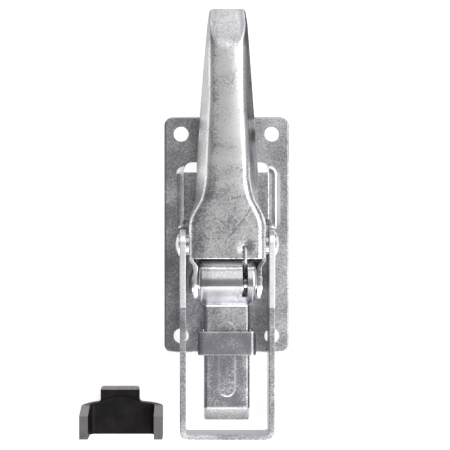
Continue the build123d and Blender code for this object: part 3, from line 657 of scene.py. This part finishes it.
class LeverForm:
    """Surfaces of the pressed lever, from its settings and the box of its CAD node."""

    # Rounding of the cut edges, and its steps on each side
    rim = 0.45 * MM
    rim_steps = 7
    # Rows near the hook, along the middle and at the tip, and the tip's start before the facet
    hook_rows = 50
    middle_rows = 74
    tip_rows = 50
    before_facet = 4 * MM
    # Columns of the crown, a bend, a wall and a foot's rim, and turns about the pin and columns of
    # a skin in an ear
    crown_columns = 30
    bend_columns = 14
    wall_columns = 9
    foot_columns = 11
    ear_turns = 181
    ear_columns = 28
    # Exponents of the S to the neck and of the grip's taper
    neck_power = 1.35
    taper_power = 1.25
    # Places round the section where the crown passes into the bend, and the bend into the wall
    crown_end = 0.5
    bend_end = 0.8
    # The crown: its arc's height, what the tip adds to it, its fall and the share of the way to
    # the tip that this takes, and its half width beside the hook's hole
    camber = 0.6 * MM
    tip_camber = 1.6 * MM
    crown_fall = 0.9 * MM
    fall_share = 0.75
    crown_half = 17.3 * MM
    # The bends change to those of the tip from this share of the way on
    tip_bend_share = 0.7
    # The walls lean fully after this run from the bell, and lose this share of it by the tip
    lean_run = 34 * MM
    lean_loss = 0.32
    # The facet's slope, and the softness of the edge where it cuts the crown
    facet_slope = 0.26
    facet_blend = 0.3 * MM
    # The feet: height at the bell, the grip's start, run and rise, where they rise towards the
    # facet and meet its rim, counted from the tip, how much of this rise is eased, the rim's
    # depth, and the lug's radius
    wall_z = 8.3 * MM
    grip_y = 12 * MM
    grip_run = 28 * MM
    grip_rise = 4 * MM
    last_rise = 50.8 * MM
    rim_run = 7.8 * MM
    ease_share = 0.35
    rim_depth = 0.8 * MM
    lug_radius = 7.5 * MM
    # The tip's corners shorten the sheet over this run
    corner_run = 10 * MM
    # The hole for the hook
    hole_radius = 1.05 * MM
    hole_edge = 0.35 * MM
    hole_depth = 1.6 * MM
    # The ears: outline about the pin, bore, how far they reach into the channel and stay below the
    # crown, their step inwards, its run and its start past the channel, and what they are thinner
    # inside the wall, which changes over this much on both sides of its end
    ear_radius = 9.2 * MM
    ear_bore = 4.05 * MM
    ear_lap = 5 * MM
    ear_step = 2.7 * MM
    step_run = 5 * MM
    step_start = 0.3 * MM
    ear_thinner = 0.16 * MM
    wall_edge = 0.5 * MM

    def __init__(self, settings):
        self.set = settings
        self.tip_y = lever_high[1] + settings.tip_reach
        self.crown_z = lever_high[2]
        self.bell_half = lever_high[0]
        self.fulcrum = pivots["lever_open"]
        self.rivet = pivots["rivet_turn"]

    def width(self, y):
        """Width over the feet: an S from the bell to the neck, then a slow taper to the tip."""
        lever = self.set
        to_neck = np.clip((y - lever.bell_end_y) / (lever.neck_y - lever.bell_end_y), 0, 1)
        narrowed = (2 * self.bell_half - lever.neck_width) * eased(to_neck**self.neck_power)
        tapered = (lever.neck_width - lever.tip_width) * self.to_tip(y) ** self.taper_power
        return 2 * self.bell_half - narrowed - tapered

    def to_tip(self, y):
        """Share of the way from the neck to the tip, 0 before the neck."""
        return np.clip((y - self.set.neck_y) / (self.tip_y - self.set.neck_y), 0, None)

    def facet_z(self, y):
        """Height of the flat facet, which falls by about a quarter of the way along it."""
        along = y - self.tip_y + self.set.facet_length
        return self.crown_z - self.crown_fall - self.facet_slope * along

    def foot_z(self, y):
        """Height of the walls' feet: level, up to the grip, level, then up to the facet's rim; a
        round lug reaches below them about the bail's rivet."""
        depth = self.set.sheet + self.rim_depth
        rise_y, stop_y = self.tip_y - self.last_rise, self.tip_y - self.rim_run
        grip_z = self.wall_z + self.grip_rise * eased((y - self.grip_y) / self.grip_run)
        risen = np.clip((y - rise_y) / (stop_y - rise_y), 0, 1)
        risen = self.ease_share * eased(risen) + (1 - self.ease_share) * risen
        foot = grip_z + (self.facet_z(stop_y) - depth - grip_z) * risen
        foot = np.where(y > stop_y, self.facet_z(y) - depth, foot)
        from_rivet = np.clip(np.abs(y - self.rivet[1]) / self.lug_radius, 0, 1)
        lug = self.rivet[2] - self.lug_radius * np.sqrt(1 - from_rivet**2)
        return np.minimum(foot, np.where(from_rivet < 1, lug, foot))

    def skin(self, y, s, inset):
        """Half of the section at y, s running from 0 at the crown's middle to 1 at the foot: an arc
        of the crown, an arc of the bend that is tangent to it, and the straight leaning wall. The
        bend's middle lies its radius inside both the crown's circle and the wall's line."""
        lever = self.set
        to_tip = self.to_tip(y)
        lean = lever.wall_lean * eased((y - lever.bell_end_y) / self.lean_run)
        lean = lean * (1 - self.lean_loss * to_tip)
        tightened = eased((to_tip - self.tip_bend_share) / (1 - self.tip_bend_share))
        bend = lever.bend + (lever.tip_bend - lever.bend) * tightened - inset
        camber = self.camber + self.tip_camber * to_tip**3
        top_z = self.crown_z - self.crown_fall * eased(to_tip / self.fall_share) - inset
        foot_z = self.foot_z(y)
        half = self.width(y) / 2 - inset / np.cos(lean)
        shoulder = half - (top_z - camber - foot_z) * np.tan(lean)
        bow = (shoulder**2 + camber**2) / (2 * camber)
        bow_z = top_z - bow
        out_x, out_z = np.cos(lean), np.sin(lean)
        wall_off = out_x * shoulder + out_z * (top_z - camber) - bend
        up = out_x * bow_z + np.sqrt((bow - bend) ** 2 - (wall_off - out_z * bow_z) ** 2)
        bend_x = out_x * wall_off - out_z * up
        bend_z = out_z * wall_off + out_x * up
        start = np.arctan2(bend_x, bend_z - bow_z)
        stop = np.pi / 2 - lean
        crown_end, bend_end = self.crown_end, self.bend_end
        on_crown = start * np.clip(s / crown_end, 0, 1)
        on_bend = start + (stop - start) * np.clip((s - crown_end) / (bend_end - crown_end), 0, 1)
        on_wall = np.clip((s - bend_end) / (1 - bend_end), 0, 1)
        wall_x, wall_z = bend_x + bend * out_x, bend_z + bend * out_z
        fall = (wall_z - foot_z) * on_wall
        x = np.where(s < crown_end, bow * np.sin(on_crown), bend_x + bend * np.sin(on_bend))
        z = np.where(s < crown_end, bow_z + bow * np.cos(on_crown), bend_z + bend * np.cos(on_bend))
        x = np.where(s > bend_end, wall_x + fall * np.tan(lean), x)
        z = np.where(s > bend_end, wall_z - fall, z)
        return x, soft_lower(z, self.facet_z(y) - inset, self.facet_blend)

    def pressed(self, x, y, z, inset):
        """Height after the dimple round the hook's hole, a bump of eased depth, and the hole."""
        lever = self.set
        from_hook = np.hypot(x - lever.hook_x, y - lever.hook_y)
        depth = lever.dimple_depth * (1 - eased(from_hook / (lever.dimple_width / 2)))
        hole = self.hole_depth * (1 - eased((from_hook - self.hole_radius) / self.hole_edge))
        on_crown = z > self.crown_z - CROWN_DEPTH - inset
        return z - np.where(on_crown, depth + np.where(inset == 0, hole, 0), 0)

    @staticmethod
    def loop(outer, rim, inner, mirror):
        """Columns of a whole loop from those of its right half: the outer skin from the left foot
        to the right, the right rim, the inner skin back and the left rim. The left half is the
        right one times mirror."""
        outward = [mirror * outer[:, ::-1], outer[:, 1:], rim]
        back = [inner[:, ::-1], mirror * inner[:, 1:], mirror * rim[:, ::-1]]
        return np.concatenate(outward + back, axis=1)

    def channel(self):
        """Closed shell of the channel. Each row is a loop round the cut sheet. At both ends the
        loop thins to its middle along a quarter of a superellipse, which rounds the cut edges."""
        lever = self.set
        quarter = np.linspace(0, np.pi / 2, self.rim_steps)
        fade = np.sqrt(np.cos(quarter))
        fade[-1] = 0
        step_in = self.rim * (1 - np.sqrt(np.sin(quarter)))
        near_hook = spaced(lever.end_y + self.rim, lever.bell_end_y, self.hook_rows, lever.hook_y)
        middle_end = self.tip_y - lever.facet_length - self.before_facet
        middle = np.linspace(lever.bell_end_y, middle_end, self.middle_rows)[1:]
        tip = np.linspace(middle[-1], self.tip_y - self.rim, self.tip_rows)[1:]
        y_low = lever.end_y + step_in[::-1]
        y_high = self.tip_y - step_in
        y = np.concatenate([y_low[:-1], near_hook, middle, tip[:-1], y_high])
        thin = np.concatenate([fade[::-1], np.ones(len(y) - 2 * self.rim_steps), fade])
        at_hook = self.crown_end * lever.hook_x / self.crown_half
        crown = spaced(0, self.crown_end, self.crown_columns, at_hook)
        bend = np.linspace(self.crown_end, self.bend_end, self.bend_columns)[1:]
        wall = np.linspace(self.bend_end, 1, self.wall_columns)[1:]
        s = np.concatenate([crown, bend, wall])[None, :]
        y, thin = y[:, None], thin[:, None]
        outer_x, outer_z = self.skin(y, s, 0.0)
        inner_x, inner_z = self.skin(y, s, lever.sheet)
        turn = np.linspace(0, np.pi, self.foot_columns)[None, 1:-1]
        round_rim = np.sign(np.cos(turn)) * np.sqrt(np.abs(np.cos(turn)))
        outer_foot, inner_foot = outer_x[:, -1:], inner_x[:, -1:]
        rim_x = (outer_foot + inner_foot) / 2 + round_rim * (outer_foot - inner_foot) / 2
        rim_z = outer_z[:, -1:] - self.rim * np.sqrt(np.sin(turn)) + self.rim
        # The skins end where the rim begins, above the feet
        shorter = self.rim * eased((s - self.bend_end) / (1 - self.bend_end))
        outer_z = outer_z + shorter
        inner_z = inner_z + shorter
        none, no_rim = np.zeros_like(outer_x), np.zeros_like(rim_x)
        x = self.loop(outer_x, rim_x, inner_x, -1)
        inset = self.loop(none, no_rim, none + lever.sheet, 1)
        z = self.pressed(x, y, self.loop(outer_z, rim_z, inner_z, 1), inset)
        middle_x = (outer_x + inner_x) / 2
        middle_z = (outer_z + inner_z) / 2
        middle_x = self.loop(middle_x, no_rim + middle_x[:, -1:], middle_x, -1)
        middle_z = self.loop(middle_z, no_rim + middle_z[:, -1:], middle_z, 1)
        x = middle_x + thin * (x - middle_x)
        z = middle_z + thin * (z - middle_z)
        corner = lever.tip_corner
        into_corner = np.clip(np.abs(x) - (lever.tip_width / 2 - corner), 0, corner)
        cut = corner - np.sqrt(corner**2 - into_corner**2)
        y = y - cut * eased((y - self.tip_y + self.corner_run) / self.corner_run)
        across = self.loop(none + s, no_rim + 1, none, -1)
        return np.stack([x, y, z, across], axis=-1)

    def ear(self, side):
        """Closed shell of an ear, from the pin's bore to the outline, which is the tight band round
        the pivot's circle and the wall's end. The sheet steps in along an eased curve, and each
        row runs out on the outer skin, round the rim and back on the inner one."""
        lever = self.set
        radius = self.ear_radius
        reach_y = lever.end_y + self.ear_lap - self.fulcrum[1]
        turn = np.linspace(-np.pi, np.pi, self.ear_turns)[:-1]
        outline = np.full(turn.shape, radius)
        angles = []
        for corner_z, hand in ((self.crown_z - self.ear_lap, 1), (self.wall_z, -1)):
            corner_rise = corner_z - self.fulcrum[2]
            corner_angle = np.arctan2(corner_rise, reach_y)
            tangent = corner_angle + hand * np.arccos(radius / np.hypot(corner_rise, reach_y))
            on_line = (hand * (turn - corner_angle) > 0) & (hand * (tangent - turn) > 0)
            outline = np.where(on_line, radius / np.cos(turn - tangent), outline)
            angles.append(corner_angle)
        ahead = (turn > angles[1]) & (turn < angles[0])
        outline = np.where(ahead, reach_y / np.cos(turn), outline)
        quarter = np.linspace(0, np.pi / 2, self.rim_steps)
        steps = (1 - np.cos(np.linspace(0, np.pi, self.ear_columns))) / 2
        inner, outer = self.ear_bore + self.rim, outline[:, None] - self.rim
        bulge = self.rim * np.sqrt(np.sin(np.concatenate([quarter[1:], quarter[-2:0:-1]])))
        level = np.sqrt(np.cos(quarter[1:]))
        level[-1] = 0
        level = np.concatenate([level, -level[-2::-1]])
        flat = np.ones(steps.size)
        reach = np.concatenate([steps, np.ones(bulge.size), steps[::-1], np.zeros(bulge.size)])
        push = np.concatenate([0 * steps, bulge, 0 * steps, -bulge])
        height = np.concatenate([flat, level, -flat, -level])
        from_pin = inner + (outer - inner) * reach + push
        y = self.fulcrum[1] + from_pin * np.cos(turn)[:, None]
        z = self.fulcrum[2] + from_pin * np.sin(turn)[:, None]
        wall_middle = self.bell_half - lever.sheet / 2
        step_y = lever.end_y - self.step_start
        middle = wall_middle - self.ear_step * eased((step_y - y) / self.step_run)
        inside_wall = eased((y - lever.end_y + self.wall_edge) / (2 * self.wall_edge))
        thickness = lever.sheet - self.ear_thinner * inside_wall
        x = middle + height * thickness / 2
        grid = np.stack([side * x, y, z, np.full_like(x, 2.0 * side)], axis=-1)
        return np.concatenate([grid, grid[:1]], axis=0)


# Operators
class LatchOperator:
    """What the operators share: the settings of the scene."""

    bl_options = {"REGISTER", "UNDO"}

    @property
    def stage(self):
        return bpy.context.scene.latch_stage

    @property
    def finish(self):
        return bpy.context.scene.latch_finish


class LATCH_OT_stage(LatchOperator, bpy.types.Operator):
    """Make the camera, the pale floor and the soft lights"""

    bl_idname = "latch.stage"
    bl_label = "Studio"

    def execute(self, context):
        self.make_camera(context.scene)
        self.make_floor()
        self.make_lights()
        self.make_room(context.scene)
        context.scene.view_settings.view_transform = "Standard"
        return {"FINISHED"}

    def make_camera(self, scene):
        stage = self.stage
        camera = bpy.data.cameras.new("camera")
        camera.sensor_width = 36
        camera.lens = camera.sensor_width * stage.camera_distance / stage.picture_width
        camera.shift_x = (stage.picture_x - stage.camera_x) / stage.picture_width
        camera.shift_y = (stage.picture_y - stage.camera_y) / stage.picture_width
        made = bpy.data.objects.new("camera", camera)
        made.location = (stage.camera_x, stage.camera_y, stage.camera_distance + PLATE_FRONT_Z)
        scene.collection.objects.link(made)
        scene.camera = made

    def make_floor(self):
        half = self.stage.floor_size / 2
        side, card_z = 1.2, 0.3 * MM
        corners = [(-half, -half, 0), (half, -half, 0), (half, half, 0), (-half, half, 0)]
        self.card("floor", corners, self.stage.floor_colour, 0.7, self.stage.floor_glow)
        # Two cards that only reflections see: dark at the right, light grey at the left. Their
        # rows hold the name, lowest and highest X, and grey
        for name, low_x, high_x, grey in (
            ("card_right", 17 * MM, side, 0.03),
            ("card_left", -side, -14 * MM, 0.8),
        ):
            near, far = (self.stage.card_y, card_z), (half, card_z)
            card_corners = [(low_x, *near), (high_x, *near), (high_x, *far), (low_x, *far)]
            card = self.card(name, card_corners, (grey, grey, grey), 0.8)
            card.visible_camera = False
            card.visible_diffuse = False
            card.visible_shadow = False

    def card(self, name, corners, colour, roughness, glow=0.0):
        """Flat sheet of the studio."""
        mesh = bpy.data.meshes.new(name)
        mesh.from_pydata(corners, [], [(0, 1, 2, 3)])
        finish = Finish(name)
        light = {"Emission Color": WHITE, "Emission Strength": glow}
        mesh.materials.append(finish.surface(opaque(colour), roughness, 0.0, **light))
        made = bpy.data.objects.new(name, mesh)
        bpy.context.scene.collection.objects.link(made)
        return made

    def make_lights(self):
        reach = 1.5
        # name, turn about Z from +X, angles from straight up, half length, radiance, colour
        boxes = [
            ("light_right_high", 0, 21, 41, 2.2, 4.2, (1.0, 1.0, 1.0)),
            ("light_right_low", 0, 41, 62, 2.2, 0.9, (1.0, 1.0, 1.0)),
            ("light_head", 90, 22, 66, 0.7, 1.0, (1.0, 0.98, 0.95)),
            ("light_foot_high", -90, 18, 46, 0.6, 0.8, (1.0, 1.0, 1.0)),
            ("light_foot_low", -90, 46, 89, 0.6, 5.5, (1.0, 1.0, 1.0)),
        ]
        for name, turn, first, last, half_length, radiance, colour in boxes:
            light = bpy.data.lights.new(name, "AREA")
            light.shape = "RECTANGLE"
            light.size = 2 * reach * tan(radians(last - first) / 2)
            light.size_y = 2 * half_length
            light.energy = radiance * np.pi * light.size * light.size_y
            light.color = colour
            made = bpy.data.objects.new(name, light)
            lean = radians(first + last) / 2
            made.location = (
                reach * sin(lean) * cos(radians(turn)),
                reach * sin(lean) * sin(radians(turn)),
                reach * cos(lean),
            )
            made.rotation_euler = (0, lean, radians(turn))
            bpy.context.scene.collection.objects.link(made)

    def make_room(self, scene):
        world = bpy.data.worlds.new("room")
        world.use_nodes = True
        background = world.node_tree.nodes["Background"]
        background.inputs["Color"].default_value = WHITE
        background.inputs["Strength"].default_value = self.stage.room_light
        scene.world = world


class LATCH_OT_pressings(LatchOperator, bpy.types.Operator):
    """Give the plate and the tongue housing their mottled zinc"""

    bl_idname = "latch.pressings"
    bl_label = "Plate and housing"

    def execute(self, context):
        dress("back_plate", plate_zinc("zinc_back_plate", self.finish))
        dress("tongue_housing", housing_zinc("zinc_housing", self.finish))
        return {"FINISHED"}


class LATCH_OT_lever(LatchOperator, bpy.types.Operator):
    """Press the lever: its channel with soft bends, facet, dimple and cut edges, and its two ears"""

    bl_idname = "latch.lever"
    bl_label = "Lever"

    def execute(self, context):
        form = LeverForm(context.scene.latch_lever)
        zinc = lever_zinc("zinc_lever", self.finish, context.scene.latch_lever)
        lever = shell_mesh("lever_pressing", [form.channel(), form.ear(1), form.ear(-1)], zinc)
        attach(lever, "lever")
        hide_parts("lever")
        return {"FINISHED"}


class LATCH_OT_bail(LatchOperator, bpy.types.Operator):
    """Give the bail its satin zinc"""

    bl_idname = "latch.bail"
    bl_label = "Bail"

    def execute(self, context):
        dress("bail", bail_zinc("zinc_bail", self.finish))
        return {"FINISHED"}


class LATCH_OT_pins(LatchOperator, bpy.types.Operator):
    """Give the pin, the rivets, the washers and the spring their bright zinc"""

    bl_idname = "latch.pins"
    bl_label = "Pins and spring"

    def execute(self, context):
        dress("fulcrum_pin", zinc_plated("zinc_pin", self.finish, 0.28, mottle=0.6, lift=-0.3))
        bright = zinc_plated("zinc_rivets", self.finish, 0.22, mottle=0.4, lift=0.25)
        for side in ("left", "right"):
            dress("bail_rivet_" + side, bright)
            dress("bail_washer_" + side, bright)
        dress("return_spring", zinc_plated("spring_wire", self.finish, 0.22, mottle=0.4, lift=0.25))
        return {"FINISHED"}


class LATCH_OT_keeper(LatchOperator, bpy.types.Operator):
    """Give the keeper its black coat"""

    bl_idname = "latch.keeper"
    bl_label = "Keeper"

    def execute(self, context):
        dress("keeper", black_coated("black_coat", self.finish))
        return {"FINISHED"}


OPERATORS = (
    LATCH_OT_stage,
    LATCH_OT_pressings,
    LATCH_OT_lever,
    LATCH_OT_bail,
    LATCH_OT_pins,
    LATCH_OT_keeper,
)


class LATCH_PT_sidebar(bpy.types.Panel):
    """Lists the operators and the settings"""

    bl_idname = "LATCH_PT_sidebar"
    bl_label = "Drop side latch"
    bl_space_type = "VIEW_3D"
    bl_region_type = "UI"
    bl_category = "Latch"

    def draw(self, context):
        for operator in OPERATORS:
            self.layout.operator(operator.bl_idname)
        scene = context.scene
        for group in (scene.latch_stage, scene.latch_finish, scene.latch_lever):
            for name in group.__annotations__:
                self.layout.prop(group, name)


CLASSES = (
    LatchStageSettings,
    LatchFinishSettings,
    LatchLeverSettings,
    *OPERATORS,
    LATCH_PT_sidebar,
)


def register():
    for one in CLASSES:
        bpy.utils.register_class(one)
    bpy.types.Scene.latch_stage = bpy.props.PointerProperty(type=LatchStageSettings)
    bpy.types.Scene.latch_finish = bpy.props.PointerProperty(type=LatchFinishSettings)
    bpy.types.Scene.latch_lever = bpy.props.PointerProperty(type=LatchLeverSettings)


def unregister():
    del bpy.types.Scene.latch_lever
    del bpy.types.Scene.latch_finish
    del bpy.types.Scene.latch_stage
    for one in reversed(CLASSES):
        bpy.utils.unregister_class(one)


def main():
    """Makes every piece and the studio."""
    register()
    bpy.ops.latch.stage()
    bpy.ops.latch.pressings()
    bpy.ops.latch.lever()
    bpy.ops.latch.bail()
    bpy.ops.latch.pins()
    bpy.ops.latch.keeper()


if __name__ == "__main__":
    main()
